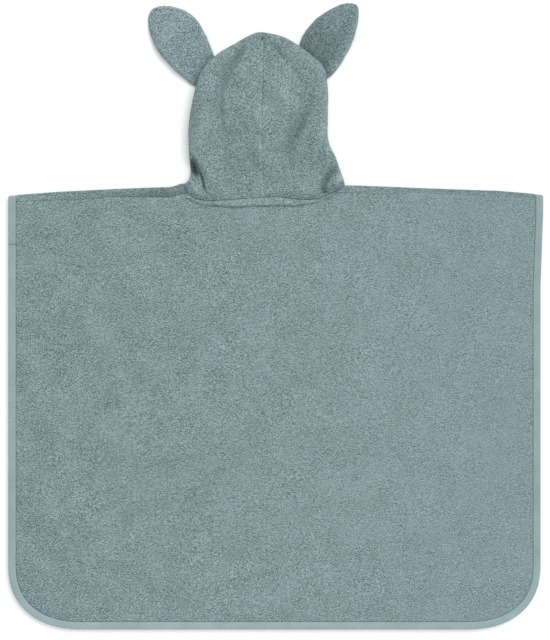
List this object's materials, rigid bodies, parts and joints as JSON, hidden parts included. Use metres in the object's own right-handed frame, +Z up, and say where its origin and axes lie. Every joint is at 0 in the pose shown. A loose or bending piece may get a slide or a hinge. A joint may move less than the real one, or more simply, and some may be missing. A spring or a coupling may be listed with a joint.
{
  "type": "hooded bath poncho",
  "caption": "Child's hooded bath poncho in terry towelling, laid flat with its back up: a square bound body and an eared hood.",
  "frame": {"origin": "middle of the laid-out poncho, on the surface that it lies on", "axes": "+X across the back, +Y from the hem to the hood, +Z up from the surface, with the back of the poncho on top"},
  "size_m": [0.7038, 0.8244, 0.0317],
  "materials": {
    "terry": "looped terry towelling, grey green",
    "tape": "smooth woven cotton tape, paler grey green"
  },
  "bodies": {
    "root": {"back_panel": "terry", "front_panel": "terry", "hood_left": "terry", "hood_right": "terry", "ear_left_front": "terry", "ear_left_back": "terry", "ear_right_front": "terry", "ear_right_back": "terry", "edge_binding": "tape"}
  },
  "joints": []
}
